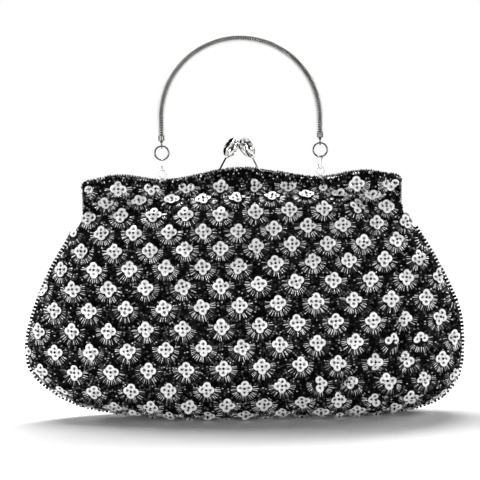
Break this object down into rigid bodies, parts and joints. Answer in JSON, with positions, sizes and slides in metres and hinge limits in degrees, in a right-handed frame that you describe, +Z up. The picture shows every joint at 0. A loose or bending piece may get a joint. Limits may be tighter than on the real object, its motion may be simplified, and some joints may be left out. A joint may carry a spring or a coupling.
{
  "type": "beaded evening clutch bag",
  "caption": "Beaded evening clutch: a soft rounded pouch in a hinged kiss-lock metal frame with rosebud knobs and a ribbed snake-chain top handle on rings and links.",
  "frame": {"origin": "middle of the bag's footprint, on the surface it stands on", "axes": "+X along the bag's width to the right as seen from the front, +Y from front to rear, +Z up"},
  "size_m": [0.279, 0.0614, 0.2436],
  "materials": {
    "bright_steel": "polished nickel plate",
    "beaded_fabric": "cloth covered with black glass beads and silver sequin flowers",
    "black_satin": "satin lining",
    "foam": "needled wadding",
    "paper_cord": "twisted paper cord",
    "black_beads": "glossy bead edging"
  },
  "bodies": {
    "pouch": {"front_panel_lower": "beaded_fabric", "rear_panel_lower": "beaded_fabric", "front_padding": "foam", "rear_padding": "foam", "front_lining_lower": "black_satin", "rear_lining_lower": "black_satin", "inner_pocket": "black_satin", "seam_edging": "black_beads", "left_hinge_rivet": "bright_steel", "right_hinge_rivet": "bright_steel"},
    "front_half": {"front_frame": "bright_steel", "front_frame_cord": "paper_cord", "front_panel_upper": "beaded_fabric", "front_lining_upper": "black_satin", "front_knob": "bright_steel", "front_knob_stem": "bright_steel"},
    "rear_half": {"rear_frame": "bright_steel", "rear_frame_cord": "paper_cord", "rear_panel_upper": "beaded_fabric", "rear_lining_upper": "black_satin", "rear_knob": "bright_steel", "rear_knob_stem": "bright_steel", "left_eyelet": "bright_steel", "right_eyelet": "bright_steel"},
    "left_link": {"left_link": "bright_steel"},
    "right_link": {"right_link": "bright_steel"},
    "left_ring": {"left_ring": "bright_steel"},
    "right_ring": {"right_ring": "bright_steel"},
    "handle": {"left_end_cap": "bright_steel", "right_end_cap": "bright_steel", "snake_chain": "bright_steel"}
  },
  "joints": [
    {"name": "front_half_hinge", "type": "hinge", "parent": "pouch", "child": "front_half", "pos_m": [0, 0, 0.1285], "axis": [1, 0, 0], "range_deg": [0, 40]},
    {"name": "rear_half_hinge", "type": "hinge", "parent": "pouch", "child": "rear_half", "pos_m": [0, 0, 0.1285], "axis": [1, 0, 0], "range_deg": [-40, 0]},
    {"name": "left_link_swing", "type": "hinge", "parent": "rear_half", "child": "left_link", "pos_m": [-0.0502, 0.0027, 0.1589], "axis": [1, 0, 0], "range_deg": [-30, 30]},
    {"name": "right_link_swing", "type": "hinge", "parent": "rear_half", "child": "right_link", "pos_m": [0.0502, 0.0027, 0.1589], "axis": [1, 0, 0], "range_deg": [-30, 30]},
    {"name": "left_ring_swing", "type": "hinge", "parent": "left_link", "child": "left_ring", "pos_m": [-0.0502, 0.0027, 0.1651], "axis": [1, 0, 0], "range_deg": [-35, 35]},
    {"name": "right_ring_swing", "type": "hinge", "parent": "right_link", "child": "right_ring", "pos_m": [0.0502, 0.0027, 0.1651], "axis": [1, 0, 0], "range_deg": [-35, 35]},
    {"name": "handle_swing", "type": "hinge", "parent": "left_ring", "child": "handle", "pos_m": [-0.0502, 0.0027, 0.1739], "axis": [1, 0, 0], "range_deg": [-45, 45]}
  ],
  "couplings": [
    {"joint": "rear_half_hinge", "follows": "front_half_hinge", "ratio": -1},
    {"joint": "right_link_swing", "follows": "left_link_swing", "ratio": 1},
    {"joint": "right_ring_swing", "follows": "left_ring_swing", "ratio": 1}
  ]
}
